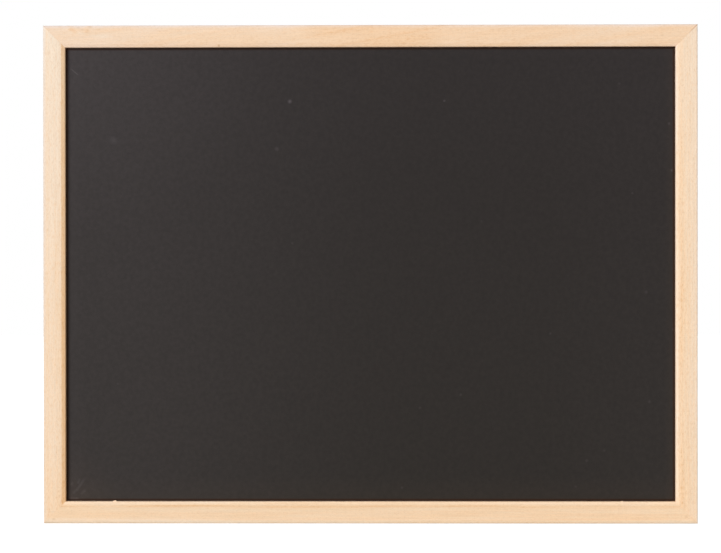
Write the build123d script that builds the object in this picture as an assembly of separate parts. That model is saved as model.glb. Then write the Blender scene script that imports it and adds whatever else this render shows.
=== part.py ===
"""Chalk-writing board: a charcoal panel in a mitred wood frame that hangs on two swinging rings.

Millimetres. +X is right seen from the front, +Z is up and the writing side faces -Y.
The origin is midway between the two ring pivots, in the plane of the frame's back.
"""

import os
from math import asin, degrees, sqrt

from build123d import *

# Panel: a chalk-writing sheet bonded to a hardboard core
panel_width = 400.0
panel_height = 300.0
sheet_thickness = 0.4
core_thickness = 3.2
panel_clearance = 0.5  # gap all round between the panel's edge and the rebate wall

# Frame moulding: seen in section, the lip overlaps the panel in front
rail_width = 14.0
rail_depth = 14.0
lip_thickness = 5.0
rebate_width = 4.5
sight_bevel_width = 2.4
sight_bevel_depth = 0.95
sight_edge_radius = 0.25
front_arris_radius = 1.0
back_arris_radius = 0.5

# Corner V-nails, driven flush into the back of each mitre
nail_leg = 4.5
nail_thickness = 0.5
nail_depth = 7.0

# Retaining points, pressed into the rebate wall and lying on the panel's back
point_width = 6.0
point_thickness = 0.4
point_bite = 5.0
point_reach = 9.0  # length that shows, from the rebate wall inwards
point_tip = 3.0
point_corner_chamfer = 0.8
points_on_rail = 3
points_on_stile = 2

# Hangers: a strip folded double round the bar of a wire D-ring
pivot_drop = 25.0  # from the frame's top edge down to the ring's pivot
wire_diameter = 1.4
wire_clearance = 0.1  # radial, between the ring's bar and the knuckle
ring_corner_radius = 1.0
ring_leg = 3.5
ring_rest_gap = 0.25  # between the hanging ring and the strap behind it
strap_width = 5.0
strap_thickness = 0.6
strap_layer_gap = 0.1
strap_side_gap = 0.4  # between the strap's edge and the ring's corner bend
strap_end_margin = 1.0  # from the screw head's edge to the strap's end

# Hanger screws, pan head with a cross recess
screw_head_diameter = 4.6
screw_head_height = 1.5
screw_head_chamfer = 0.5
screw_shank_diameter = 2.4
screw_length = 9.0  # under the head
screw_tip = 2.0
screw_hole_clearance = 0.2  # radial, in the strap
screw_pilot_clearance = 0.03  # radial, in the wood
screw_gap = 2.5  # between the hanging ring and the screw head
recess_width = 0.7
recess_span = 2.6
recess_depth = 0.8

# Sizes that follow from these
back_land = rail_width - rebate_width
board_width = panel_width + 2 * (panel_clearance + back_land)
board_height = panel_height + 2 * (panel_clearance + back_land)
board_top = pivot_drop
board_bottom = board_top - board_height
board_middle = (board_top + board_bottom) / 2
front = -rail_depth
panel_front = front + lip_thickness
core_front = panel_front + sheet_thickness
panel_back = core_front + core_thickness

wire_radius = wire_diameter / 2
knuckle_radius = wire_radius + wire_clearance + strap_thickness
pivot_stand_off = knuckle_radius
strap_back = 2 * strap_thickness + strap_layer_gap
ring_half_width = strap_width / 2 + strap_side_gap + ring_corner_radius
ring_drop = ring_corner_radius + ring_leg + ring_half_width
ring_rest_angle = degrees(asin((strap_back + ring_rest_gap + wire_radius - pivot_stand_off) / ring_drop))
screw_drop = ring_drop + wire_radius + screw_gap + screw_head_diameter / 2
strap_end = screw_drop + screw_head_diameter / 2 + strap_end_margin
hanger_x = board_width / 2 - back_land / 2


def moulding_section():
    """The moulding cut square: x runs from the outer edge inwards, y from the back (0) to the front."""
    section = make_face(
        Polyline(
            (0, front),
            (rail_width - sight_bevel_width, front),
            (rail_width, front + sight_bevel_depth),
            (rail_width, panel_front),
            (back_land, panel_front),
            (back_land, 0),
            (0, 0),
            close=True,
        )
    )
    sight_edges = [
        (rail_width - sight_bevel_width, front),
        (rail_width, front + sight_bevel_depth),
    ]
    eased = [((0, front), front_arris_radius), ((0, 0), back_arris_radius)]
    eased += [(edge, sight_edge_radius) for edge in sight_edges]
    for corner, radius in eased:
        section = fillet(section.vertices().sort_by_distance(corner)[0], radius)
    return section


def frame_member(length):
    """One length of moulding, mitred at both ends, outer edge on z = 0 and its sight edge above."""
    across = Plane(origin=(0, 0, 0), x_dir=(0, 0, 1), z_dir=(-1, 0, 0))
    member = extrude(across * moulding_section(), amount=length / 2, both=True)
    for side in (-1, 1):
        mitre = Plane(origin=(side * length / 2, 0, 0), z_dir=(side, 0, 1))
        member = split(member, bisect_by=mitre, keep=Keep.BOTTOM)
    return member


# Where each frame member stands: its outer edge's middle, turned so that its sight edge faces inwards
on_bottom = Pos(0, 0, board_bottom)
on_top = Pos(0, 0, board_top) * Rot(0, 180, 0)
on_left = Pos(-board_width / 2, 0, board_middle) * Rot(0, 90, 0)
on_right = Pos(board_width / 2, 0, board_middle) * Rot(0, -90, 0)


def panel_sheet(thickness, front_face):
    """A flat sheet of the panel's size, with its front face at the given depth."""
    outline = Plane((0, front_face, board_middle), x_dir=(1, 0, 0), z_dir=(0, 1, 0))
    return extrude(outline * Rectangle(panel_width, panel_height), amount=thickness)


def corner_nail():
    """A steel V, apex on the mitre line towards the sight edge and one leg lying in each member."""
    legs = Polyline((-nail_leg, 0), (0, 0), (0, -nail_leg))
    apex = (back_land + nail_leg) / 2
    vee = trace(legs, nail_thickness)
    return Pos(apex, 0, apex) * extrude(Plane.XZ * vee, amount=nail_depth)


def retaining_point():
    """A flat steel point, tip down into the rebate wall at z = 0, lying on the panel's back."""
    half = point_width / 2
    outline = make_face(
        Polyline(
            (0, -point_bite),
            (half, point_tip - point_bite),
            (half, point_reach),
            (-half, point_reach),
            (-half, point_tip - point_bite),
            close=True,
        )
    )
    outline = chamfer(outline.vertices().group_by(Axis.Y)[-1], point_corner_chamfer)
    lying = Plane((0, panel_back + point_thickness, back_land), x_dir=(1, 0, 0), z_dir=(0, -1, 0))
    return extrude(lying * outline, amount=point_thickness)


def points_along(place, count, side):
    """Evenly spaced retaining points along one frame member."""
    pitch = side / count
    first = (1 - count) / 2
    return [place * Pos((first + i) * pitch, 0, 0) * retaining_point() for i in range(count)]


def hanger_strap():
    """A strip that runs up the wood, rolls round the ring's bar and lies back down on itself."""
    roll = knuckle_radius - strap_thickness / 2
    outer_layer = strap_thickness + strap_layer_gap + strap_thickness / 2
    back_set = roll - (pivot_stand_off - outer_layer)
    fall = sqrt((2 * roll) ** 2 - back_set**2)
    wrap = 180 + degrees(asin(fall / (2 * roll)))
    under = Line((strap_thickness / 2, -strap_end), (strap_thickness / 2, 0))
    knuckle = JernArc(under @ 1, under % 1, roll, -wrap)
    return_bend = JernArc(knuckle @ 1, knuckle % 1, roll, wrap - 180)
    over = Line(return_bend @ 1, (outer_layer, -strap_end))
    strip = trace([under, knuckle, return_bend, over], strap_thickness)
    strap = extrude(Plane.YZ * strip, amount=strap_width / 2, both=True)

    # The free end is rounded, and both layers are drilled for the screw
    end_radius = strap_width / 2
    straight = strap_end - end_radius + knuckle_radius
    outline = Pos(0, knuckle_radius - straight / 2) * Rectangle(strap_width, straight)
    outline += Pos(0, end_radius - strap_end) * Circle(end_radius)
    outline -= Pos(0, -screw_drop) * Circle(screw_shank_diameter / 2 + screw_hole_clearance)
    return strap & extrude(Plane.XZ * outline, amount=2 * knuckle_radius, both=True)


def hanger_ring():
    """Wire bent to a D: a straight bar in the knuckle, two legs and a round bow, hanging down."""
    half = ring_half_width
    bend = ring_corner_radius
    bar = Line((bend - half, 0), (half - bend, 0))
    right_bend = JernArc(bar @ 1, bar % 1, bend, -90)
    right_leg = Line(right_bend @ 1, (half, -bend - ring_leg))
    bow = JernArc(right_leg @ 1, right_leg % 1, half, -180)
    left_leg = Line(bow @ 1, (-half, -bend))
    left_bend = JernArc(left_leg @ 1, left_leg % 1, bend, -90)
    path = Plane.XZ * Wire([bar, right_bend, right_leg, bow, left_leg, left_bend])
    ring = sweep(Plane(path @ 0, z_dir=path % 0) * Circle(wire_radius), path=path)
    return Pos(0, pivot_stand_off, 0) * Rot(ring_rest_angle, 0, 0) * ring


def hanger_screw():
    """Pan-head wood screw with its head on the strap and its point in the wood."""
    shank_radius = screw_shank_diameter / 2
    shaft_end = screw_tip - screw_length
    shank = extrude(Circle(shank_radius), amount=shaft_end)
    tip = (0, -screw_length)
    point = make_face(Polyline((0, shaft_end), (shank_radius, shaft_end), tip, close=True))
    head = extrude(Circle(screw_head_diameter / 2), amount=screw_head_height)
    head = chamfer(head.edges().group_by(Axis.Z)[-1], screw_head_chamfer)
    recess_middle = Pos(0, 0, screw_head_height - recess_depth / 2)
    cross = recess_middle * Box(recess_span, recess_width, recess_depth)
    cross += recess_middle * Box(recess_width, recess_span, recess_depth)
    screw = head + shank + revolve(Plane.XZ * point, Axis.Z) - cross
    return Pos(0, strap_back, -screw_drop) * Rot(-90, 0, 0) * screw


def screw_pilot():
    """The hole that the screw makes in the wood."""
    depth = screw_length - strap_back
    radius = screw_shank_diameter / 2 + screw_pilot_clearance
    into_wood = Plane((0, 0, -screw_drop), x_dir=(1, 0, 0), z_dir=(0, -1, 0))
    return extrude(into_wood * Circle(radius), amount=depth + screw_pilot_clearance)


# Fixings, placed round the frame
corner_turns = [(-1, board_bottom, 0), (-1, board_top, 90), (1, board_top, 180), (1, board_bottom, 270)]
nails = [
    Pos(side * board_width / 2, 0, height) * Rot(0, turn, 0) * corner_nail()
    for side, height, turn in corner_turns
]
points = []
for place in (on_bottom, on_top):
    points += points_along(place, points_on_rail, panel_width)
for place in (on_left, on_right):
    points += points_along(place, points_on_stile, panel_height)
left_hanger = Pos(-hanger_x, 0, 0)
right_hanger = Pos(hanger_x, 0, 0)
pilots = [hanger * screw_pilot() for hanger in (left_hanger, right_hanger)]


def fitted(member):
    """A frame member with the kerfs and pilot holes that its fixings make in it."""
    for tool in nails + points + pilots:
        member -= tool
    return member


pieces = {
    "top_rail": fitted(on_top * frame_member(board_width)),
    "bottom_rail": fitted(on_bottom * frame_member(board_width)),
    "left_stile": fitted(on_left * frame_member(board_height)),
    "right_stile": fitted(on_right * frame_member(board_height)),
    "writing_sheet": panel_sheet(sheet_thickness, panel_front),
    "hardboard_core": panel_sheet(core_thickness, core_front),
    "corner_v_nails": Compound(nails),
    "retaining_points": Compound(points),
    "left_hanger_strap": left_hanger * hanger_strap(),
    "right_hanger_strap": right_hanger * hanger_strap(),
    "left_hanger_ring": left_hanger * hanger_ring(),
    "right_hanger_ring": right_hanger * hanger_ring(),
    "hanger_screws": Compound([hanger * hanger_screw() for hanger in (left_hanger, right_hanger)]),
}

os.makedirs("parts", exist_ok=True)
for name, shape in pieces.items():
    shape.label = name
    export_step(shape, f"parts/{name}.step")
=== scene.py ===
"""A charcoal chalk-writing board in a pale mitred beech frame, with a ring hanger behind each stile."""

from math import asin, pi, radians, sqrt

import bmesh
import bpy
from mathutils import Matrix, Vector


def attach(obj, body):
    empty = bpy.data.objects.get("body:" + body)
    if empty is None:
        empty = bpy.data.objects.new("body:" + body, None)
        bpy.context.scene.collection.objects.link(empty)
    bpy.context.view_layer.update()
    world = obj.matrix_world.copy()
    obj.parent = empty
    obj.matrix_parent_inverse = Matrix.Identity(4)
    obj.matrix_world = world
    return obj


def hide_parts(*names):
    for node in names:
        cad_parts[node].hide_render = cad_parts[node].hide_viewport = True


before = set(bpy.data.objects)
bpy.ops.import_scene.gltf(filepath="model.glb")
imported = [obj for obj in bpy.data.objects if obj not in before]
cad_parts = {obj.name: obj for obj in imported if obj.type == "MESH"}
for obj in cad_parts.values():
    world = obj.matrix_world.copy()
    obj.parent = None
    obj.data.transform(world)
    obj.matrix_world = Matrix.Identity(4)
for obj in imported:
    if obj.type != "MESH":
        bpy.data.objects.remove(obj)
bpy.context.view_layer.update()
bpy.ops.object.select_all(action="DESELECT")


# Frame members: four lengths of pale beech moulding with a rebate behind the lip and a small bevel
# at the sight edge. Each is run in one long stick, sawn to 45 degrees at both ends and glued to its
# neighbours. The lower mitres closed tight, and the upper two show a hairline, the right one with glue.
mm = 0.001
board_width = 420 * mm
board_height = 320 * mm
board_top = 25 * mm
board_bottom = board_top - board_height
board_middle = (board_top + board_bottom) / 2
rail_width = 14 * mm
rail_depth = 14 * mm
back_land = 9.5 * mm
panel_front = -9 * mm
sight_bottom = board_bottom + rail_width
sight_bevel_width = 2.4 * mm
sight_bevel_depth = 0.95 * mm
face_width = rail_width - sight_bevel_width
outer_arris = 1.0 * mm
back_arris = 0.5 * mm
bevel_arris = 0.2 * mm
sight_arris = 0.25 * mm
tight_mitre = 0.03 * mm
faint_mitre = 0.08 * mm
splinter_thickness = 0.5 * mm
splinter_depth = -12.5 * mm
smooth_angle = radians(30)
flat_angle = radians(1)
hair = 0.001 * mm
facing = 0.9


def near(value, target):
    """Whether two lengths differ by less than a hair."""
    return abs(value - target) < hair


def pick_faces(direction, test=lambda middle: True):
    """In edit mode, select only the faces that look one way and whose middle passes the test."""
    mesh = bpy.context.edit_object.data
    bpy.ops.mesh.select_mode(type="FACE")
    bpy.ops.mesh.select_all(action="DESELECT")
    for face in bmesh.from_edit_mesh(mesh).faces:
        looks_there = face.normal.dot(Vector(direction)) > facing
        face.select_set(looks_there and test(face.calc_center_median()))
    bmesh.update_edit_mesh(mesh)


def pick_edges(test):
    """In edit mode, select only the edges both of whose ends pass the test."""
    mesh = bpy.context.edit_object.data
    bpy.ops.mesh.select_mode(type="EDGE")
    bpy.ops.mesh.select_all(action="DESELECT")
    for edge in bmesh.from_edit_mesh(mesh).edges:
        edge.select_set(all(test(vert.co) for vert in edge.verts))
    bmesh.update_edit_mesh(mesh)


def cut(point, normal, clear):
    """In edit mode, divide the piece along a plane, or saw off and close the side the normal faces."""
    bpy.ops.mesh.select_all(action="SELECT")
    direction = Vector(normal).normalized()
    sides = {"use_fill": clear, "clear_outer": clear}
    bpy.ops.mesh.bisect(plane_co=point, plane_no=direction, threshold=hair, **sides)


def pull(offset):
    """In edit mode, extrude what is selected by an offset."""
    bpy.ops.mesh.extrude_region_move(TRANSFORM_OT_translate={"value": offset})


def start_edit(piece_name):
    """Name the primitive just added, settle its place in its mesh and open it for editing."""
    piece = bpy.context.object
    piece.name = piece_name
    piece.data.name = piece_name
    bpy.ops.object.transform_apply(location=True, rotation=True, scale=True)
    bpy.ops.object.mode_set(mode="EDIT")
    return piece


def take(piece):
    """Select one piece alone for the operators that follow."""
    bpy.ops.object.select_all(action="DESELECT")
    bpy.context.view_layer.objects.active = piece
    piece.select_set(True)


def set_in_place(piece, turn, place):
    """Turn and move a modelled piece, and keep both in its mesh."""
    take(piece)
    piece.rotation_euler = turn
    piece.location = place
    bpy.ops.object.transform_apply(location=True, rotation=True, scale=True)


def combine(piece, other, operation):
    """Add another shape to a piece or cut it out of the piece, and throw the other shape away."""
    take(piece)
    boolean = piece.modifiers.new("combined", "BOOLEAN")
    boolean.operation = operation
    boolean.object = other
    bpy.ops.object.modifier_apply(modifier=boolean.name)
    bpy.data.objects.remove(other)


def frame_moulding(piece_name, length, ease_low, ease_high):
    """One mitred length along X, outer edge on z = 0 and sight edge above, eased at its two mitres."""
    blank = (length, rail_depth, back_land)
    blank_middle = (0, -rail_depth / 2, back_land / 2)
    bpy.ops.mesh.primitive_cube_add(size=1, location=blank_middle, scale=blank)
    member = start_edit(piece_name)
    cut((0, panel_front, 0), (0, 1, 0), clear=False)
    pick_faces((0, 0, 1), lambda middle: middle.y < panel_front)
    pull((0, 0, rail_width - back_land))

    # The stick is one length of wood, so no line is left across its flat faces
    bpy.ops.mesh.select_all(action="SELECT")
    bpy.ops.mesh.dissolve_limited(angle_limit=flat_angle)
    bevel_normal = (0, -sight_bevel_width, sight_bevel_depth)
    cut((0, -rail_depth, face_width), bevel_normal, clear=True)

    # Sanded arrises: outer front, outer back, and both edges of the sight bevel
    arrises = [
        (-rail_depth, 0, outer_arris, 5),
        (0, 0, back_arris, 3),
        (-rail_depth, face_width, bevel_arris, 2),
        (sight_bevel_depth - rail_depth, rail_width, sight_arris, 2),
    ]
    for depth, height, radius, steps in arrises:
        pick_edges(lambda co: near(co.y, depth) and near(co.z, height))
        bpy.ops.mesh.bevel(offset=radius, segments=steps, affect="EDGES")
    for side, ease in ((-1, ease_low), (1, ease_high)):
        cut((side * length / 2, 0, 0), (side, 0, 1), clear=True)
        pick_edges(lambda co: near(side * co.x + co.z, length / 2))
        bpy.ops.mesh.bevel(offset=ease, segments=1, affect="EDGES")
    bpy.ops.object.mode_set(mode="OBJECT")
    bpy.ops.object.shade_smooth_by_angle(angle=smooth_angle)
    return member


def raise_splinter(member, x, length, height):
    """Tear up a small splinter on the lower sight edge: wide at its root and ragged at its top."""
    root = (length, splinter_thickness, 2 * height)
    root_middle = (x, splinter_depth, sight_bottom)
    tear_slope = (0.25, 0, 1)
    top_taper = (0.35, 0.4, 1)
    top_lean = (0.15 * length, -0.1 * mm, 0)
    bpy.ops.mesh.primitive_cube_add(size=1, location=root_middle, scale=root)
    splinter = start_edit("splinter")
    cut(root_middle, tear_slope, clear=False)
    pick_faces((0, 0, 1))
    bpy.ops.transform.resize(value=top_taper)
    bpy.ops.transform.translate(value=top_lean)
    bpy.ops.object.mode_set(mode="OBJECT")
    combine(member, splinter, "UNION")
    bpy.ops.object.shade_smooth_by_angle(angle=smooth_angle)


bottom_moulding = frame_moulding("bottom_rail_moulding", board_width, tight_mitre, tight_mitre)
set_in_place(bottom_moulding, (0, 0, 0), (0, 0, board_bottom))
raise_splinter(bottom_moulding, x=-164.3 * mm, length=2.4 * mm, height=0.7 * mm)
raise_splinter(bottom_moulding, x=161.5 * mm, length=1.6 * mm, height=0.4 * mm)
top_moulding = frame_moulding("top_rail_moulding", board_width, faint_mitre, faint_mitre)
set_in_place(top_moulding, (0, pi, 0), (0, 0, board_top))
left_moulding = frame_moulding("left_stile_moulding", board_height, faint_mitre, tight_mitre)
set_in_place(left_moulding, (0, pi / 2, 0), (-board_width / 2, 0, board_middle))
right_moulding = frame_moulding("right_stile_moulding", board_height, tight_mitre, faint_mitre)
set_in_place(right_moulding, (0, -pi / 2, 0), (board_width / 2, 0, board_middle))


def paint(red, green, blue):
    """A paint-chart colour, 0 to 255, as the linear colour that a shader takes."""
    linear = []
    for part in (red / 255, green / 255, blue / 255):
        linear.append(part / 12.92 if part <= 0.04045 else ((part + 0.055) / 1.055) ** 2.4)
    return (*linear, 1)


def feed(tree, node, inputs):
    """Set a node's inputs to values, or connect them to other nodes."""
    for name, value in inputs.items():
        if isinstance(value, bpy.types.NodeSocket):
            tree.links.new(value, node.inputs[name])
        else:
            node.inputs[name].default_value = value


def add(tree, kind, inputs, **options):
    """Add a node with its options and inputs."""
    node = tree.nodes.new("ShaderNode" + kind)
    for option, value in options.items():
        setattr(node, option, value)
    feed(tree, node, inputs)
    return node


def new_finish(finish_name):
    """An empty finish: its material, node tree and surface shader, and the piece's own coordinates."""
    finish = bpy.data.materials.new(finish_name)
    finish.use_nodes = True
    tree = finish.node_tree
    coords = add(tree, "TexCoord", {}).outputs["Object"]
    return finish, tree, tree.nodes["Principled BSDF"], coords


def stretched_noise(tree, coords, waves, detail=2.0, distortion=0.0):
    """Noise with so many waves per metre along each axis, from 0 to 1."""
    laid = add(tree, "Mapping", {"Vector": coords, "Scale": waves}).outputs["Vector"]
    values = {"Vector": laid, "Scale": 1.0, "Detail": detail, "Distortion": distortion}
    return add(tree, "TexNoise", values).outputs["Fac"]


def remap(tree, value, low, high, to_low, to_high, curve="LINEAR"):
    """A value brought from one range to another, held at the ends."""
    ranges = {"From Min": low, "From Max": high, "To Min": to_low, "To Max": to_high}
    brought = add(tree, "MapRange", {"Value": value, **ranges}, interpolation_type=curve)
    return brought.outputs["Result"]


def swing(tree, noise, low, high, reach=0.2):
    """A noise that mostly lies within a reach of one half, brought to another range."""
    return remap(tree, noise, 0.5 - reach, 0.5 + reach, low, high)


def fade(tree, away, full, gone, strength=1.0):
    """A strength that is full up to one distance and gone at another."""
    return remap(tree, away, full, gone, strength, 0.0)


def calculate(tree, operation, first, second):
    """One sum on two values."""
    return add(tree, "Math", {0: first, 1: second}, operation=operation).outputs["Value"]


def total(tree, values):
    """The sum of several values."""
    result = values[0]
    for value in values[1:]:
        result = calculate(tree, "ADD", result, value)
    return result


def away_from(tree, value, target):
    """How far a value is from a target, either way."""
    off = calculate(tree, "SUBTRACT", value, target)
    return add(tree, "Math", {0: off}, operation="ABSOLUTE").outputs["Value"]


def vectors(tree, operation, first, second):
    """One sum on two vectors, or on a colour and a tint."""
    return add(tree, "VectorMath", {0: first, 1: second}, operation=operation).outputs["Vector"]


def measure(tree, operation, first, second=(0, 0, 0)):
    """The one number that a sum on vectors gives, such as a length."""
    return add(tree, "VectorMath", {0: first, 1: second}, operation=operation).outputs["Value"]


def colour_ramp(tree, value, stops):
    """A colour picked along a ramp of (place, colour) stops."""
    ramp = add(tree, "ValToRGB", {"Fac": value})
    elements = ramp.color_ramp.elements
    elements[0].position, elements[0].color = stops[0]
    elements[1].position, elements[1].color = stops[-1]
    for place, colour in stops[1:-1]:
        elements.new(place).color = colour
    return ramp.outputs["Color"]


def mix(tree, share, under, over, way="MIX"):
    """One colour laid over another by a share from 0 to 1."""
    layers = {"Factor": share, "A": under, "B": over}
    return add(tree, "Mix", layers, data_type="RGBA", blend_type=way).outputs["Result"]


def shaded(tree, colour, shade):
    """A colour made darker or lighter by a factor."""
    return add(tree, "VectorMath", {0: colour, "Scale": shade}, operation="SCALE").outputs["Vector"]


def relief(tree, shader, height, strength, depth):
    """Give a surface the fine relief of a height."""
    bump = add(tree, "Bump", {"Height": height, "Strength": strength, "Distance": depth})
    feed(tree, shader, {"Normal": bump.outputs["Normal"]})


def oval(tree, coords, x, z, half_length, half_height):
    """How far a point of the face is from the middle of an oval, where the oval itself is 1."""
    off = vectors(tree, "SUBTRACT", coords, (x * mm, -rail_depth, z * mm))
    spread = (1 / (half_length * mm), 0, 1 / (half_height * mm))
    return measure(tree, "LENGTH", vectors(tree, "MULTIPLY", off, spread))


# Beech grain: waves per metre along the fibre and across it, and how much each part of it shows
cloud_waves = (16, 110, 110)
streak_waves = 7
fleck_waves = (340, 1000, 1000)
pore_waves = (70, 1300, 1300)
fine_pore_waves = (600, 6500, 6500)
ray_waves = (800, 7500, 7500)
wander_waves = (12, 12, 12)
wander_reach = 0.6 * mm
cloud_range = (0.35, 0.6)
fleck_range = (0.46, 0.72)
fine_pore_range = (0.4, 0.7)
ray_range = (0.62, 0.7)
ray_warming = 0.1
pore_contrast = 0.045
fine_pore_light = 0.036
fine_pore_dark = 0.08
fleck_dark = 0.12
ray_light = 1.008
ray_dark = 0.915
line_core = 0.2
line_strengths = (0.45, 1.0)
mark_core = 0.3
bevel_start = (face_width - 0.2 * mm, face_width + 0.3 * mm)
bevel_slope = (face_width, rail_width - 0.5 * mm)
arris_light_reach = (0.3 * mm, 2.3 * mm)
wood_dulling = (0.5, 0.62)
fine_pore_height = -0.5
grain_relief = 0.08 * mm
glue_width = (0.2 * mm, 0.8 * mm)
glue_thinning = (2.5 * mm, 6 * mm)
thin_glue = 0.12
glue_brown = paint(190, 140, 98)
beech_tones = [
    (0.0, paint(246, 228, 206)),
    (0.35, paint(244, 218, 190)),
    (0.6, paint(244, 212, 177)),
    (0.8, paint(242, 205, 165)),
    (1.0, paint(236, 191, 144)),
]


def beech(
    finish_name, ends, inward, turn, shift, warmth, cloudiness, streakiness, streak_pitch, fleckiness,
    pore_depth, tint, marks, bevel_light_tints, arris_light_tint, glue, slant=0, growth_lines=(), eyes=(),
):
    """Beech with its grain along one member, in that member's own warmth, figure and marks.

    A growth line has its inset at each end, its width and its warmth. An eye of late wood and a mark
    have the x and z of their middle and half their length and height. Then an eye has its ring's
    width and warmth, and a mark has its warmth and its shade. All these lengths are in mm.
    """
    finish, tree, shader, coords = new_finish(finish_name)
    straight = {"Vector": coords, "Rotation": (0, turn, 0), "Location": shift}
    slanting = {"Vector": coords, "Rotation": (0, turn + slant, 0), "Location": shift}
    fibre = add(tree, "Mapping", straight).outputs["Vector"]
    figure = add(tree, "Mapping", slanting).outputs["Vector"]
    axes = add(tree, "SeparateXYZ", {"Vector": coords}).outputs
    low_end, high_end = ends
    axis = 0 if low_end.x != high_end.x else 2
    along = axes[axis]
    inset = measure(tree, "DOT_PRODUCT", coords, inward)
    inset = calculate(tree, "SUBTRACT", inset, low_end.dot(inward))

    # Warmth runs from 0, cream sapwood, to 1, orange late wood. It drifts from end to end, and broad
    # clouds, long growth streaks, and the short flecks and rays of a beech face ride on it.
    place = remap(tree, along, low_end[axis], high_end[axis], 0.0, 1.0)
    last = len(warmth) - 1
    drift = [(step / last, (value, value, value, 1)) for step, value in enumerate(warmth)]
    drift = colour_ramp(tree, place, drift)
    cloud = stretched_noise(tree, figure, cloud_waves, distortion=0.5)
    across = 1 / (streak_pitch * mm)
    streaks = (streak_waves, across, across)
    streaks = stretched_noise(tree, figure, streaks, detail=3.0, distortion=0.9)
    flecks = stretched_noise(tree, fibre, fleck_waves, detail=1.0)
    pores = stretched_noise(tree, fibre, pore_waves)
    fine_pores = stretched_noise(tree, fibre, fine_pore_waves)
    rays = stretched_noise(tree, fibre, ray_waves, detail=0.0)
    rays = remap(tree, rays, *ray_range, 0.0, 1.0)
    cloud_warmth = swing(tree, cloud, -cloudiness, cloudiness, reach=0.25)
    streak_warmth = swing(tree, streaks, -streakiness, streakiness, reach=0.25)
    fleck_warmth = remap(tree, flecks, *fleck_range, 0.0, fleckiness)
    ray_warmth = calculate(tree, "MULTIPLY", rays, ray_warming)
    warm = total(tree, [drift, cloud_warmth, streak_warmth, fleck_warmth, ray_warmth])

    # Growth rings that show as single lines, at their own insets from the outer edge at the two ends
    wander = stretched_noise(tree, fibre, wander_waves)
    wander = swing(tree, wander, -wander_reach, wander_reach, reach=0.3)
    wavy_inset = calculate(tree, "ADD", inset, wander)
    line_strength = remap(tree, cloud, *cloud_range, *line_strengths)
    for low_inset, high_inset, line_width, line_warmth in growth_lines:
        line_inset = remap(tree, place, 0.0, 1.0, low_inset * mm, high_inset * mm)
        off_line = away_from(tree, wavy_inset, line_inset)
        line = fade(tree, off_line, line_core * line_width * mm, line_width * mm, line_warmth)
        warm = calculate(tree, "ADD", warm, calculate(tree, "MULTIPLY", line, line_strength))
    for x, z, half_length, half_height, ring_width, ring_warmth in eyes:
        off_ring = away_from(tree, oval(tree, coords, x, z, half_length, half_height), 1.0)
        ring = fade(tree, off_ring, line_core * ring_width, ring_width, ring_warmth)
        warm = calculate(tree, "ADD", warm, ring)

    # Shade: pores and flecks are darker than the wood round them, and so are small knots and dents
    shade = swing(tree, pores, 1 - pore_contrast * pore_depth, 1 + pore_contrast * pore_depth)
    pore_ends = (1 + fine_pore_light * pore_depth, 1 - fine_pore_dark * pore_depth)
    fine_shade = remap(tree, fine_pores, *fine_pore_range, *pore_ends)
    fleck_shade = remap(tree, flecks, *fleck_range, 1.0, 1 - fleck_dark * fleckiness)
    ray_shade = remap(tree, rays, 0.0, 1.0, ray_light, ray_dark)
    for layer in (fine_shade, fleck_shade, ray_shade):
        shade = calculate(tree, "MULTIPLY", shade, layer)
    for x, z, half_length, half_height, mark_warmth, mark_shade in marks:
        off_mark = oval(tree, coords, x, z, half_length, half_height)
        warm = calculate(tree, "ADD", warm, fade(tree, off_mark, mark_core, 1.0, mark_warmth))
        darker = remap(tree, off_mark, mark_core, 1.0, mark_shade, 1.0)
        shade = calculate(tree, "MULTIPLY", shade, darker)
    tone = colour_ramp(tree, warm, beech_tones)

    # Painted light on the sight bevel: painted shade on the left stile's bevel, which faces away from
    # the front lamp, and a painted highlight on the other three. The outer arris is tinted below.
    on_bevel = remap(tree, inset, *bevel_start, 0.0, 1.0)
    down_bevel = remap(tree, inset, *bevel_slope, 0.0, 1.0)
    bevel_light_tint = mix(tree, down_bevel, *bevel_light_tints)
    tone = mix(tree, on_bevel, tone, bevel_light_tint, way="MULTIPLY")
    # Painted light on the outer arris: a tint cools it on every member and lightens it most on the
    # right stile, whose arris the front lamp leaves in shade. It darkens the red on the bottom rail and
    # left stile as painted shade.
    depth = calculate(tree, "ADD", axes["Y"], rail_depth)
    off_arris = add(tree, "CombineXYZ", {"X": inset, "Y": depth}).outputs["Vector"]
    on_arris = fade(tree, measure(tree, "LENGTH", off_arris), *arris_light_reach)
    tone = mix(tree, on_arris, tone, arris_light_tint, way="MULTIPLY")

    # A brown glue line in each mitre, strongest towards the outer corner
    squeezed_out = remap(tree, inset, *glue_thinning, 1.0, thin_glue)
    for end, sense, strength in ((low_end, 1.0, glue[0]), (high_end, -1.0, glue[1])):
        from_end = calculate(tree, "SUBTRACT", along, end[axis])
        from_end = calculate(tree, "MULTIPLY", from_end, sense)
        in_glue = fade(tree, away_from(tree, from_end, inset), *glue_width, strength)
        in_glue = calculate(tree, "MULTIPLY", in_glue, squeezed_out)
        tone = mix(tree, in_glue, tone, glue_brown)

    wood = vectors(tree, "MULTIPLY", shaded(tree, tone, shade), tint)
    dulling = swing(tree, streaks, *wood_dulling)
    feed(tree, shader, {"Base Color": wood, "Roughness": dulling, "Specular IOR Level": 0.2})
    grooves = calculate(tree, "MULTIPLY", fine_pores, fine_pore_height)
    grooves = calculate(tree, "ADD", pores, grooves)
    relief(tree, shader, grooves, strength=0.25, depth=grain_relief)
    return finish


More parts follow.
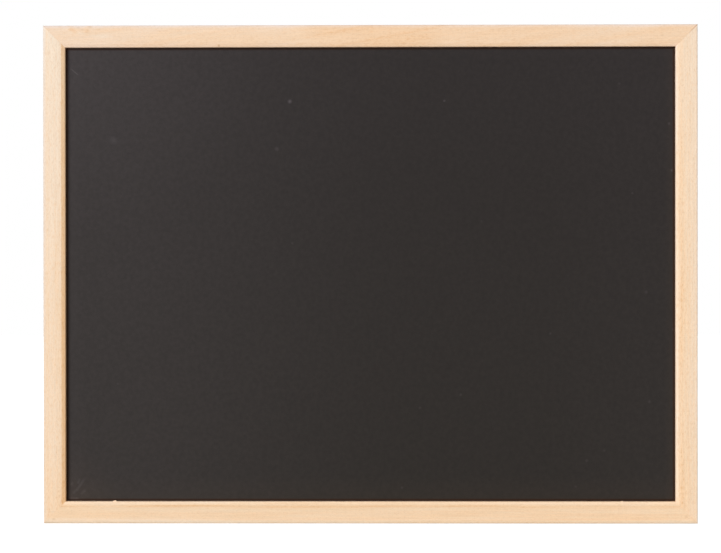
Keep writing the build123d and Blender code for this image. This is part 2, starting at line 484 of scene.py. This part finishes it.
bottom_left = Vector((-board_width / 2, 0, board_bottom))
bottom_right = Vector((board_width / 2, 0, board_bottom))
top_left = Vector((-board_width / 2, 0, board_top))
top_right = Vector((board_width / 2, 0, board_top))
bottom_finish = beech(
    "beech_bottom_rail",
    ends=(bottom_left, bottom_right),
    inward=Vector((0, 0, 1)),
    turn=0,
    shift=(0, 0.4, 0),
    warmth=(0.51, 0.55, 0.6),
    cloudiness=0.06,
    streakiness=0.17,
    streak_pitch=2.6,
    fleckiness=0.1,
    pore_depth=0.65,
    tint=(1.015, 1.018, 1.017),
    growth_lines=[(11.0, 11.0, 1.1, 0.25), (2.2, 2.2, 0.9, -0.14)],
    marks=[
        (-203.4, -292.2, 1.5, 1.0, 0.2, 0.9),
        (-198.7, -283.8, 3.5, 2.5, 0.06, 0.99),
        (202.6, -290.6, 1.4, 1.1, 0.15, 0.93),
        (207.5, -293.3, 2.0, 1.2, 0.1, 0.95),
        (186.0, -285.0, 45.0, 5.0, 0.06, 1.0),
    ],
    bevel_light_tints=((1.0, 1.01, 1.02, 1), (1.13, 1.145, 1.185, 1)),
    arris_light_tint=(0.875, 0.97, 1.07, 1),
    glue=(0.05, 0.08),
)
top_finish = beech(
    "beech_top_rail",
    ends=(top_left, top_right),
    inward=Vector((0, 0, -1)),
    turn=radians(1),
    slant=radians(9),
    shift=(0, 1.1, 0),
    warmth=(0.36, 0.47, 0.52, 0.75, 0.67, 0.57, 0.6),
    cloudiness=0.08,
    streakiness=0.12,
    streak_pitch=4.2,
    fleckiness=0.14,
    pore_depth=0.65,
    tint=(1.007, 0.994, 1.006),
    eyes=[(-186.0, 26.2, 6.2, 4.6, 0.45, 0.16)],
    marks=[
        (-186.0, 20.0, 3.2, 2.0, -0.14, 1.0),
        (-191.6, 22.4, 2.6, 1.5, 0.26, 0.99),
        (-189.6, 20.8, 2.0, 1.3, 0.2, 0.98),
        (-181.4, 21.4, 2.2, 1.7, 0.24, 0.97),
        (-187.2, 23.6, 1.5, 0.8, 0.0, 0.92),
        (-184.6, 22.2, 1.6, 0.8, 0.05, 0.94),
        (-179.6, 23.7, 1.8, 0.9, 0.1, 0.92),
        (-174.5, 22.3, 2.6, 0.8, 0.12, 0.96),
        (-172.0, 18.0, 9.0, 2.0, -0.15, 1.0),
        (-96.9, 11.9, 1.1, 0.9, 0.4, 0.85),
        (187.2, 17.8, 1.5, 0.9, 0.1, 0.92),
        (-54.0, 18.0, 24.0, 11.0, -0.13, 1.0),
        (50.0, 18.0, 15.0, 11.0, -0.08, 1.0),
        (130.0, 18.0, 110.0, 14.0, -0.02, 0.984),
    ],
    bevel_light_tints=((1.04, 1.04, 1.05, 1), (1.06, 1.06, 1.08, 1)),
    arris_light_tint=(0.98, 1.085, 1.33, 1),
    glue=(0.1, 0.5),
)
left_finish = beech(
    "beech_left_stile",
    ends=(bottom_left, top_left),
    inward=Vector((1, 0, 0)),
    turn=pi / 2,
    shift=(0, 2.3, 0),
    warmth=(0.52, 0.38, 0.06),
    cloudiness=0.08,
    streakiness=0.1,
    streak_pitch=3.0,
    fleckiness=0.27,
    pore_depth=0.85,
    tint=(1.018, 1.016, 1.022),
    growth_lines=[(4.6, 4.6, 1.2, -0.06), (11.0, 11.0, 2.2, 0.12)],
    marks=[
        (-204.6, -287.5, 3.4, 0.5, 0.0, 0.94),
        (-198.7, -283.8, 3.5, 2.5, 0.06, 0.99),
        (-207.0, -106.0, 0.9, 1.6, 0.15, 0.94),
        (-207.0, -96.0, 0.8, 1.3, 0.1, 0.95),
        (-203.0, -85.0, 0.7, 1.2, 0.1, 0.96),
        (-200.2, -248.0, 0.7, 1.3, 0.05, 0.95),
    ],
    bevel_light_tints=((1.0, 0.87, 0.69, 1), (1.06, 0.91, 0.72, 1)),
    arris_light_tint=(0.915, 0.97, 1.08, 1),
    glue=(0.05, 0.08),
)
right_finish = beech(
    "beech_right_stile",
    ends=(bottom_right, top_right),
    inward=Vector((-1, 0, 0)),
    turn=pi / 2,
    shift=(0, 3.7, 0),
    warmth=(0.48, 0.46, 0.31),
    cloudiness=0.06,
    streakiness=0.15,
    streak_pitch=3.0,
    fleckiness=0.24,
    pore_depth=0.9,
    # The stile's tint is lighter than the others' partly as painted light: it lifts the side that the
    # front lamp, from the left, leaves a little darker.
    tint=(1.042, 1.041, 1.044),
    growth_lines=[
        (10.7, 11.2, 0.9, 0.14),
        (9.6, 10.9, 3.2, 0.18),
        (6.2, 5.2, 0.7, 0.1),
        (3.8, 3.8, 2.6, -0.16),
    ],
    marks=[
        (200.2, -281.6, 0.9, 1.2, 0.12, 0.96),
        (200.2, -24.0, 0.8, 1.5, 0.1, 0.92),
        (207.2, -61.0, 0.9, 1.3, 0.1, 0.94),
        (201.0, -47.0, 0.7, 1.2, 0.08, 0.95),
    ],
    bevel_light_tints=((0.965, 0.93, 0.88, 1), (1.06, 1.105, 1.2, 1)),
    arris_light_tint=(1.05, 1.1, 1.18, 1),
    glue=(0.08, 0.42),
)
members = [
    (bottom_moulding, "bottom_rail", bottom_finish),
    (top_moulding, "top_rail", top_finish),
    (left_moulding, "left_stile", left_finish),
    (right_moulding, "right_stile", right_finish),
]
for member, cad_node, member_finish in members:
    member.data.materials.append(member_finish)
    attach(member, "board")
    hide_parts(cad_node)


# Writing sheet: a thin charcoal chalk-writing laminate, matte with a faint satin sheen, bonded to the
# core and caught behind the lips. Painted sheen lies on its left side and upper edge as a pale haze,
# painted bounce light as warm lightening along its lower and right rims, and painted shade as a brown
# line close to the lips. It has specks, a scratch top left and faint strokes bottom left.
upper_charcoal = paint(38, 33.5, 32.5)
lower_charcoal = paint(39, 35, 31.5)
chalk_and_sheen_grey = paint(172, 161, 166)
warm_bounce_colour = paint(169, 137, 110)
lip_shade_brown = paint(43, 22, 6)
sight_left = rail_width - board_width / 2
sight_right = board_width / 2 - rail_width
sight_top = board_top - rail_width
wiping_waves = (13, 13, 13)
mottle_waves = (360, 360, 360)
tooth_waves = (1700, 1700, 1700)
tooth_relief = 0.05 * mm
wiping_strengths = (0.94, 1.06)
mottle_shades = (0.915, 1.085)
tooth_shades = (0.94, 1.06)
film_dulling = (0.43, 0.5)
lip_shade_width = (0.8 * mm, 1.9 * mm)
speck_core = 0.3
speck_rim = 1.3
scratch_full_length = 0.55
scratch_full_width = 0.3

# Each speck has the x and z of its middle and its size, in mm, and its strength
dust_specks = [
    (-51.6, -23.7, 1.3, 0.12),
    (47.9, -23.5, 0.75, 0.08),
    (-59.9, -54.3, 1.3, 0.036),
    (-165.3, -48.8, 2.4, 0.037),
    (192.2, -38.4, 0.9, 0.05),
    (193.9, -68.4, 0.75, 0.085),
    (179.5, -217.0, 1.0, 0.028),
    (177.5, -146.6, 1.1, 0.029),
    (139.3, -254.9, 1.1, 0.03),
    (115.9, -173.2, 0.8, 0.036),
    (20.4, -272.3, 0.8, 0.04),
    (168.6, -83.0, 0.8, 0.036),
    (58.3, -212.5, 0.9, 0.032),
    (150.6, -248.5, 0.9, 0.02),
    (32.0, -220.9, 0.9, 0.03),
    (132.1, -271.6, 0.9, 0.028),
    (160.3, -12.5, 0.9, 0.022),
    (-50.1, -114.9, 0.8, 0.026),
    (-162.8, -205.5, 0.7, 0.03),
    (71.8, -100.9, 0.8, 0.022),
    (194.9, -170.5, 0.9, 0.08),
]

# Each scratch has the x and z of its middle, its fall in degrees, half its length and width, in mm,
# and its strength
scratches = [
    (-190.2, -4.5, 41, 3.6, 0.5, 0.07),
    (-188.0, -268.3, -70, 2.0, 1.0, 0.035),
    (-186.8, -270.3, -55, 5.2, 1.1, 0.036),
    (-190.3, -274.7, -42, 2.6, 1.2, 0.036),
    (-185.3, -275.3, -45, 2.4, 1.2, 0.03),
    (-192.4, -269.8, -60, 1.4, 1.0, 0.03),
    (-190.9, -279.5, 0, 3.4, 0.9, 0.07),
]


def spot(tree, coords, x, z, inner, outer, strength):
    """A round spot of the sheet, full to an inner distance and gone at an outer one, all in mm."""
    away = measure(tree, "DISTANCE", coords, (x * mm, panel_front, z * mm))
    return fade(tree, away, inner * mm, outer * mm, strength)


sheet_finish, sheet_tree, sheet_shader, sheet_coords = new_finish("charcoal_chalk_sheet")
wiping = stretched_noise(sheet_tree, sheet_coords, wiping_waves, detail=3.0, distortion=0.5)
mottle = stretched_noise(sheet_tree, sheet_coords, mottle_waves, detail=1.5)
tooth = stretched_noise(sheet_tree, sheet_coords, tooth_waves)
sheet_axes = add(sheet_tree, "SeparateXYZ", {"Vector": sheet_coords}).outputs
sheet_x = sheet_axes["X"]
sheet_z = sheet_axes["Z"]

# Painted sheen: a pale haze lightens the sheet towards its left side, upper edge and upper left corner,
# and a little towards its right side, with narrow bands along the left and upper rims
left_sheen = remap(sheet_tree, sheet_x, -200 * mm, 40 * mm, 0.028, 0.0, curve="SMOOTHSTEP")
left_rim_sheen = fade(sheet_tree, sheet_x, sight_left, sight_left + 12 * mm, strength=0.012)
right_sheen = fade(sheet_tree, sheet_x, 200 * mm, 110 * mm, strength=0.008)
top_sheen = fade(sheet_tree, sheet_z, 8 * mm, -80 * mm, strength=0.0055)
top_rim_sheen = fade(sheet_tree, sheet_z, sight_top, sight_top - 8 * mm, strength=0.008)
corner_sheen = spot(sheet_tree, sheet_coords, x=-205, z=20, inner=10, outer=140, strength=0.022)
chalk_and_sheen = total(sheet_tree, [left_sheen, left_rim_sheen, right_sheen, top_sheen, top_rim_sheen, corner_sheen])
chalk_and_sheen = calculate(sheet_tree, "MULTIPLY", chalk_and_sheen, swing(sheet_tree, wiping, *wiping_strengths))
for x, z, size, strength in dust_specks:
    speck = spot(sheet_tree, sheet_coords, x, z, speck_core * size, speck_rim * size, strength)
    chalk_and_sheen = calculate(sheet_tree, "ADD", chalk_and_sheen, speck)
for x, z, fall, half_length, half_width, strength in scratches:
    lay = vectors(sheet_tree, "SUBTRACT", sheet_coords, (x * mm, panel_front, z * mm))
    lay = add(sheet_tree, "Mapping", {"Vector": lay, "Rotation": (0, -radians(fall), 0)})
    lay = add(sheet_tree, "SeparateXYZ", {"Vector": lay.outputs["Vector"]}).outputs
    full_length = scratch_full_length * half_length * mm
    full_width = scratch_full_width * half_width * mm
    off_middle = away_from(sheet_tree, lay["X"], 0.0)
    off_line = away_from(sheet_tree, lay["Z"], 0.0)
    in_length = fade(sheet_tree, off_middle, full_length, half_length * mm, strength)
    in_width = fade(sheet_tree, off_line, full_width, half_width * mm)
    scratch = calculate(sheet_tree, "MULTIPLY", in_length, in_width)
    chalk_and_sheen = calculate(sheet_tree, "ADD", chalk_and_sheen, scratch)

# Painted bounce light from the wood lips: the sheet is lighter and warmer along its lower and right
# rims and in its lower left corner.
bottom_rim_bounce = fade(sheet_tree, sheet_z, sight_bottom, sight_bottom + 17 * mm, strength=0.016)
right_rim_bounce = fade(sheet_tree, sheet_x, sight_right, sight_right - 7 * mm, strength=0.02)
corner_bounce = spot(sheet_tree, sheet_coords, x=-200, z=-285, inner=5, outer=40, strength=0.03)
rim_bounce_light = total(sheet_tree, [bottom_rim_bounce, right_rim_bounce, corner_bounce])
# Painted shade: a dark brown line on the sheet close to the lips, where they meet it
from_stile = away_from(sheet_tree, sheet_x, 0.0)
from_stile = calculate(sheet_tree, "SUBTRACT", sight_right, from_stile)
from_rail = away_from(sheet_tree, sheet_z, board_middle)
from_rail = calculate(sheet_tree, "SUBTRACT", sight_top - board_middle, from_rail)
from_lip = calculate(sheet_tree, "MINIMUM", from_stile, from_rail)
lip_painted_shade = fade(sheet_tree, from_lip, *lip_shade_width)

up_sheet = remap(sheet_tree, sheet_z, sight_bottom, sight_top, 0.0, 1.0)
sheet_colour = mix(sheet_tree, up_sheet, lower_charcoal, upper_charcoal)
sheet_colour = mix(sheet_tree, chalk_and_sheen, sheet_colour, chalk_and_sheen_grey)
sheet_colour = mix(sheet_tree, rim_bounce_light, sheet_colour, warm_bounce_colour)
sheet_colour = mix(sheet_tree, lip_painted_shade, sheet_colour, lip_shade_brown)
film = swing(sheet_tree, mottle, *mottle_shades)
film = calculate(sheet_tree, "MULTIPLY", film, swing(sheet_tree, tooth, *tooth_shades))
sheet_colour = shaded(sheet_tree, sheet_colour, film)
sheet_dulling = swing(sheet_tree, wiping, *film_dulling)
feed(sheet_tree, sheet_shader, {"Base Color": sheet_colour, "Roughness": sheet_dulling})
feed(sheet_tree, sheet_shader, {"Specular IOR Level": 0.12})
relief(sheet_tree, sheet_shader, tooth, strength=0.15, depth=tooth_relief)
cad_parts["writing_sheet"].material_slots[0].material = sheet_finish


# Hardboard core: brown wood-fibre board, pressed smooth in front and against a wire screen behind,
# which leaves its back with a fine square mesh. It fills the rebate behind the writing sheet.
core_brown = paint(134, 99, 69)
screen_pitch = 1.5 * mm
wave_node_rate = 20
screen_relief = 0.15 * mm
core_fibre_waves = (700, 700, 700)
core_patch_waves = (22, 22, 22)
core_fibre_shades = (-0.16, 0.16)
core_patch_shades = (-0.1, 0.1)
screen_shades = (0.86, 1.1)
fibre_height = 0.5
core_finish, core_tree, core_shader, core_coords = new_finish("screen_back_hardboard")
screen = {"Vector": core_coords, "Scale": 2 * pi / (wave_node_rate * screen_pitch)}
screen_x = add(core_tree, "TexWave", screen, bands_direction="X").outputs["Fac"]
screen_z = add(core_tree, "TexWave", screen, bands_direction="Z").outputs["Fac"]
screen_print = calculate(core_tree, "MULTIPLY", screen_x, screen_z)
core_fibre = stretched_noise(core_tree, core_coords, core_fibre_waves, detail=4.0)
core_patches = stretched_noise(core_tree, core_coords, core_patch_waves, detail=3.0)
fibre_shade = swing(core_tree, core_fibre, *core_fibre_shades, reach=0.25)
patch_shade = swing(core_tree, core_patches, *core_patch_shades)
screen_shade = remap(core_tree, screen_print, 0.0, 1.0, *screen_shades)
core_shade = total(core_tree, [fibre_shade, patch_shade, screen_shade])
core_colour = shaded(core_tree, core_brown[:3], core_shade)
feed(core_tree, core_shader, {"Base Color": core_colour, "Roughness": 0.8, "Specular IOR Level": 0.2})
core_height = calculate(core_tree, "MULTIPLY", core_fibre, fibre_height)
core_height = calculate(core_tree, "ADD", screen_print, core_height)
relief(core_tree, core_shader, core_height, strength=0.6, depth=screen_relief)
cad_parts["hardboard_core"].material_slots[0].material = core_finish


# Corner V-nails: strips of bare spring steel folded to a V and driven into the back of each mitre,
# so that one leg holds each member. Their ends stay a hair proud of the wood.
nail_leg = 4.5 * mm
nail_thickness = 0.5 * mm
nail_depth = 7 * mm
nail_proud = 0.08 * mm
nail_edge = 0.06 * mm
nail_apex = (back_land + nail_leg) / 2
nail_fold = nail_apex - nail_thickness / 2
hard_edge_angle = radians(40)
plating_waves = (420, 420, 420)
drawn_waves = (900, 900, 9000)
drawn_relief = 0.03 * mm
plating_dulling = (-0.07, 0.09)


def copy_of(piece, copy_name):
    """A copy of a piece with a mesh of its own."""
    take(piece)
    bpy.ops.object.duplicate(linked=False)
    twin = bpy.context.object
    twin.name = copy_name
    twin.data.name = copy_name
    return twin


def join(parts, group_name):
    """Join like parts to one piece."""
    bpy.ops.object.select_all(action="DESELECT")
    for part in parts:
        part.select_set(True)
    bpy.context.view_layer.objects.active = parts[0]
    bpy.ops.object.join()
    group = bpy.context.object
    group.name = group_name
    group.data.name = group_name
    return group


def ease_edges(piece, radius):
    """Take the sharpness off a piece's hard edges, and shade it smooth."""
    take(piece)
    easing = piece.modifiers.new("eased_edges", "BEVEL")
    easing.width = radius
    easing.segments = 2
    easing.limit_method = "ANGLE"
    easing.angle_limit = hard_edge_angle
    bpy.ops.object.modifier_apply(modifier=easing.name)
    bpy.ops.object.shade_smooth_by_angle(angle=smooth_angle)


def steel(finish_name, grey, roughness, patchiness):
    """Steel with drawn scratches, a cloudy plating and a little dullness in patches."""
    finish, tree, shader, coords = new_finish(finish_name)
    patches = stretched_noise(tree, coords, plating_waves, detail=3.0, distortion=0.6)
    drawn_lines = stretched_noise(tree, coords, drawn_waves)
    colour = shaded(tree, grey, swing(tree, patches, 1 - patchiness, 1 + patchiness))
    dulling = calculate(tree, "ADD", swing(tree, patches, *plating_dulling), roughness)
    feed(tree, shader, {"Base Color": colour, "Roughness": dulling, "Metallic": 1.0})
    relief(tree, shader, drawn_lines, strength=0.12, depth=drawn_relief)
    return finish


bare_steel = steel("bare_strip_steel", (0.3, 0.295, 0.29), roughness=0.42, patchiness=0.16)
leg_middle = (nail_apex - nail_leg / 2, (nail_proud - nail_depth) / 2, nail_apex)
leg_block = (nail_leg + nail_thickness, nail_depth + nail_proud, nail_thickness)
bpy.ops.mesh.primitive_cube_add(size=1, location=leg_middle, scale=leg_block)
v_nail = start_edit("v_nail")
cut((nail_fold, 0, 0), (1, 0, 0), clear=False)
pick_faces((0, 0, -1), lambda middle: middle.x > nail_fold)
pull((0, 0, -nail_leg))
bpy.ops.object.mode_set(mode="OBJECT")
ease_edges(v_nail, nail_edge)
v_nail.data.materials.append(bare_steel)
nail_corners = [
    (bottom_left, 0),
    (top_left, pi / 2),
    (top_right, pi),
    (bottom_right, -pi / 2),
]
v_nails = [v_nail] + [copy_of(v_nail, "v_nail_copy") for corner in nail_corners[1:]]
for nail, (corner, turn) in zip(v_nails, nail_corners):
    set_in_place(nail, (0, turn, 0), corner)
v_nails = join(v_nails, "corner_v_nail_set")
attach(v_nails, "board")
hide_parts("corner_v_nails")


# Retaining points: flat steel points stamped from strip, three along each rail and two along each
# stile. They are pressed into the rebate wall and lie on the hardboard, so the panel can't fall out.
panel_back = -5.4 * mm
point_width = 6 * mm
point_thickness = 0.4 * mm
point_bite = 5 * mm
point_reach = 9 * mm
point_tip = 3 * mm
point_sharpness = 0.04
point_corner = 0.8 * mm
point_edge = 0.07 * mm
point_shoulder = point_tip - point_bite
rail_point_pitch = 133.333 * mm
stile_point_offset = 75 * mm
blade = (point_width, point_thickness, point_reach - point_shoulder)
blade_middle = (0, panel_back + point_thickness / 2, (point_reach + point_shoulder) / 2)
bpy.ops.mesh.primitive_cube_add(size=1, location=blade_middle, scale=blade)
point = start_edit("retaining_point")
pick_faces((0, 0, -1))
pull((0, 0, -point_tip))
bpy.ops.transform.resize(value=(point_sharpness, 1, 1))
for side in (1, -1):
    pick_edges(lambda co: near(co.z, point_reach) and near(co.x, side * point_width / 2))
    bpy.ops.mesh.bevel(offset=point_corner, segments=3, affect="EDGES")
bpy.ops.object.mode_set(mode="OBJECT")
ease_edges(point, point_edge)
point.data.materials.append(bare_steel)
rail_points = [-rail_point_pitch, 0, rail_point_pitch]
stile_points = [board_middle - stile_point_offset, board_middle + stile_point_offset]
point_places = [(0, (x, 0, board_bottom + back_land)) for x in rail_points]
point_places += [(pi, (x, 0, board_top - back_land)) for x in rail_points]
point_places += [(pi / 2, (back_land - board_width / 2, 0, z)) for z in stile_points]
point_places += [(-pi / 2, (board_width / 2 - back_land, 0, z)) for z in stile_points]
points = [point] + [copy_of(point, "retaining_point_copy") for place in point_places[1:]]
for one_point, (turn, place) in zip(points, point_places):
    set_in_place(one_point, (0, turn, 0), place)
points = join(points, "retaining_point_set")
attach(points, "board")
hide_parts("retaining_points")


# Hanger straps: zinc-plated steel strip, folded double round the ring's bar so that the fold makes a
# knuckle, with rounded ends and a hole for one screw. One lies on the back of each stile.
hanger_x = 205.25 * mm
strap_width = 5 * mm
strap_thickness = 0.6 * mm
strap_end = 17.2 * mm
strap_rounding = 0.49 * strap_width
strap_edge = 0.07 * mm
strap_hole = 1.4 * mm
punch_length = 6 * mm
pivot_height = 1.4 * mm
screw_drop = 13.9 * mm
knuckle_roll = pivot_height - strap_thickness / 2
outer_layer = 1.0 * mm
back_set = knuckle_roll - (pivot_height - outer_layer)
return_fall = sqrt((2 * knuckle_roll) ** 2 - back_set**2)
return_turn = asin(return_fall / (2 * knuckle_roll))


def pick_corners(test):
    """In edit mode, select only the corners that pass the test."""
    mesh = bpy.context.edit_object.data
    bpy.ops.mesh.select_mode(type="VERT")
    bpy.ops.mesh.select_all(action="DESELECT")
    for vert in bmesh.from_edit_mesh(mesh).verts:
        vert.select_set(test(vert.co))
    bmesh.update_edit_mesh(mesh)


def close_seams():
    """In edit mode, merge the corners that lie on each other, and turn all faces outwards."""
    bpy.ops.mesh.select_all(action="SELECT")
    bpy.ops.mesh.remove_doubles(threshold=hair)
    bpy.ops.mesh.normals_make_consistent(inside=False)


zinc_plate = steel("bright_zinc_plate", (0.46, 0.465, 0.47), roughness=0.34, patchiness=0.12)
strip_middle = (0, strap_thickness / 2, -strap_end / 2)
bpy.ops.mesh.primitive_plane_add(size=1, location=strip_middle, rotation=(pi / 2, 0, 0))
bpy.context.object.scale = (strap_width, strap_end, 1)
left_strap = start_edit("left_strap_strip")
pick_edges(lambda co: near(co.z, 0))
bpy.ops.mesh.spin(steps=28, angle=pi + return_turn, center=(0, pivot_height, 0), axis=(1, 0, 0))
return_centre = (0, pivot_height + back_set, -return_fall)
bpy.ops.mesh.spin(steps=9, angle=return_turn, center=return_centre, axis=(-1, 0, 0))
pull((0, 0, return_fall - strap_end))
pick_corners(lambda co: near(co.z, -strap_end))
bpy.ops.mesh.bevel(offset=strap_rounding, segments=12, affect="VERTICES")
close_seams()
bpy.ops.object.mode_set(mode="OBJECT")
strip_thickness = left_strap.modifiers.new("strip_thickness", "SOLIDIFY")
strip_thickness.thickness = strap_thickness
strip_thickness.offset = 0
bpy.ops.object.modifier_apply(modifier=strip_thickness.name)
hole_middle = (0, 0, -screw_drop)
bpy.ops.mesh.primitive_cylinder_add(
    vertices=40, radius=strap_hole, depth=punch_length, location=hole_middle, rotation=(pi / 2, 0, 0)
)
combine(left_strap, bpy.context.object, "DIFFERENCE")
ease_edges(left_strap, strap_edge)
left_strap.data.materials.append(zinc_plate)
right_strap = copy_of(left_strap, "right_strap_strip")
straps = [
    (left_strap, -1, "left_hanger_strap"),
    (right_strap, 1, "right_hanger_strap"),
]
for strap, side, cad_node in straps:
    set_in_place(strap, (0, 0, 0), (side * hanger_x, 0, 0))
    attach(strap, "board")
    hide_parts(cad_node)


# Hanger rings: zinc-plated wire bent to a D, with its straight bar in the strap's knuckle and its two
# ends butted inside it. Each ring swings freely and hangs with its bow just clear of the strap.
wire_radius = 0.7 * mm
ring_half_width = 3.9 * mm
ring_bend = 1.0 * mm
ring_leg = 3.5 * mm
ring_tilt = radians(5.81)
bow_height = -ring_bend - ring_leg
bow_end = (ring_half_width, 0, bow_height)
bend_x = ring_half_width - ring_bend
bpy.ops.mesh.primitive_circle_add(vertices=20, radius=wire_radius, location=bow_end)
left_ring = start_edit("left_ring_wire")
bpy.ops.mesh.select_all(action="SELECT")
bpy.ops.mesh.spin(steps=32, angle=pi, center=(0, 0, bow_height), axis=(0, -1, 0))
pull((0, 0, ring_leg))
bpy.ops.mesh.spin(steps=10, angle=pi / 2, center=(-bend_x, 0, -ring_bend), axis=(0, -1, 0))
pull((2 * bend_x, 0, 0))
bpy.ops.mesh.spin(steps=10, angle=pi / 2, center=(bend_x, 0, -ring_bend), axis=(0, -1, 0))
pull((0, 0, -ring_leg))
close_seams()
bpy.ops.object.mode_set(mode="OBJECT")
bpy.ops.object.shade_smooth()
left_ring.data.materials.append(zinc_plate)
right_ring = copy_of(left_ring, "right_ring_wire")
rings = [
    (left_ring, -1, "left_ring", "left_hanger_ring"),
    (right_ring, 1, "right_ring", "right_hanger_ring"),
]
for ring, side, body, cad_node in rings:
    set_in_place(ring, (ring_tilt, 0, 0), (side * hanger_x, pivot_height, 0))
    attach(ring, body)
    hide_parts(cad_node)


# Hanger screws: zinc-plated pan-head wood screws with a cross recess, one through each strap into
# the stile. The head is turned with a rounded rim, and the shank ends in a point inside the wood.
screw_head = 2.3 * mm
screw_head_height = 1.5 * mm
screw_head_rounding = 0.75 * mm
screw_shank = 1.2 * mm
screw_length = 9 * mm
screw_tip = 2 * mm
screw_edge = 0.05 * mm
strap_back = 1.3 * mm
head_top = strap_back + screw_head_height
recess_arm = 0.35 * mm
recess_span = 1.3 * mm
recess_depth = 0.8 * mm
recess_over = 0.1 * mm
recess_taper = 0.62
head_middle = (0, strap_back + screw_head_height / 2, -screw_drop)
bpy.ops.mesh.primitive_cylinder_add(
    vertices=40,
    radius=screw_head,
    depth=screw_head_height,
    location=head_middle,
    rotation=(-pi / 2, 0, 0),
)
left_screw = start_edit("left_hanger_screw")
pick_faces((0, -1, 0))
bpy.ops.mesh.inset(thickness=screw_head - screw_shank)
pull((0, screw_tip - screw_length, 0))
pull((0, -screw_tip, 0))
bpy.ops.mesh.merge(type="CENTER")
pick_edges(lambda co: near(co.y, head_top))
bpy.ops.mesh.bevel(offset=screw_head_rounding, segments=6, affect="EDGES")
bpy.ops.object.mode_set(mode="OBJECT")
recess_middle = Vector((0, head_top - recess_depth / 2 + recess_over, -screw_drop))
recess_block = (2 * recess_arm, recess_depth + 2 * recess_over, 2 * recess_arm)
bpy.ops.mesh.primitive_cube_add(size=1, location=recess_middle, scale=recess_block)
recess = start_edit("cross_recess")
for across, up in ((1, 0), (-1, 0), (0, 1), (0, -1)):
    arm = Vector((across, 0, up))
    pick_faces(arm, lambda middle: (middle - recess_middle).length < 1.1 * recess_arm)
    pull(arm * (recess_span - recess_arm))
pick_faces((0, -1, 0))
bpy.ops.transform.resize(value=(recess_taper, 1, recess_taper), center_override=recess_middle)
bpy.ops.object.mode_set(mode="OBJECT")
combine(left_screw, recess, "DIFFERENCE")
ease_edges(left_screw, screw_edge)
left_screw.data.materials.append(zinc_plate)
right_screw = copy_of(left_screw, "right_hanger_screw")
set_in_place(left_screw, (0, 0, 0), (-hanger_x, 0, 0))
set_in_place(right_screw, (0, 0, 0), (hanger_x, 0, 0))
screws = join([left_screw, right_screw], "hanger_screw_pair")
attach(screws, "board")
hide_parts("hanger_screws")


# Floor and light: a pale floor under the board's bottom edge, a wide soft light in front on the left
# and a weaker one behind on the right, and an even white room round them. The room and the floor show
# white to the camera and in the metal, and the floor keeps the board's shadow.
white = (1, 1, 1, 1)
floor_grey = (0.8, 0.8, 0.8, 1)
floor_size = 8
floor_gap = 0.02 * mm
floor_lift = 0.69
room_level = 0.42
light_spread = radians(28)


def seen_directly(tree):
    """1 on rays that come from the camera, a reflection or glass, 0 on rays that only carry light."""
    path = add(tree, "LightPath", {}).outputs
    mirrored = calculate(tree, "MAXIMUM", path["Is Glossy Ray"], path["Is Transmission Ray"])
    return calculate(tree, "MAXIMUM", path["Is Camera Ray"], mirrored)


def soft_light(light_name, place, strength):
    """Wide, even light on the whole board from a place across the room."""
    lamp = bpy.data.lights.new(light_name, "SUN")
    lamp.angle = light_spread
    lamp.energy = strength
    stand = bpy.data.objects.new(light_name, lamp)
    bpy.context.collection.objects.link(stand)
    stand.location = place
    aim = Vector((0, 0, board_middle)) - Vector(place)
    stand.rotation_euler = aim.to_track_quat("-Z", "Y").to_euler()


bpy.ops.mesh.primitive_plane_add(size=floor_size, location=(0, 0, board_bottom - floor_gap))
floor = bpy.context.object
floor.name = "studio_floor"
floor_finish = bpy.data.materials.new("pale_floor")
floor_finish.use_nodes = True
floor_tree = floor_finish.node_tree
floor_tree.nodes.remove(floor_tree.nodes["Principled BSDF"])
floor_strength = calculate(floor_tree, "MULTIPLY", seen_directly(floor_tree), floor_lift)
floor_glow = add(floor_tree, "Emission", {"Color": white, "Strength": floor_strength})
floor_paint = add(floor_tree, "BsdfDiffuse", {"Color": floor_grey})
floor_mix = add(floor_tree, "AddShader", {0: floor_glow.outputs[0], 1: floor_paint.outputs[0]})
feed(floor_tree, floor_tree.nodes["Material Output"], {"Surface": floor_mix.outputs[0]})
floor.data.materials.append(floor_finish)

room = bpy.data.worlds.new("white_room")
bpy.context.scene.world = room
room.use_nodes = True
room_tree = room.node_tree
room_strength = remap(room_tree, seen_directly(room_tree), 0.0, 1.0, room_level, 1.0)
feed(room_tree, room_tree.nodes["Background"], {"Color": white, "Strength": room_strength})
soft_light("front_soft_light", place=(-2.43, -4.21, 1.0), strength=2.02)
soft_light("back_soft_light", place=(1.3, 2.6, 0.27), strength=1.2)
bpy.context.scene.view_settings.view_transform = "Standard"


# Camera: a long lens in front of the board, square to it, a little right of its middle and above it,
# so that the frame's sides stay almost parallel. It stands far enough off to leave white all round.
lens = bpy.data.cameras.new("portrait_camera")
lens.lens = 124.564
lens.sensor_width = 36
camera = bpy.data.objects.new("portrait_camera", lens)
bpy.context.collection.objects.link(camera)
camera.location = (0.01672, -1.6145, -0.12629)
camera.rotation_euler = (radians(89.6395), radians(0.0583), radians(0.8153))
bpy.context.scene.camera = camera
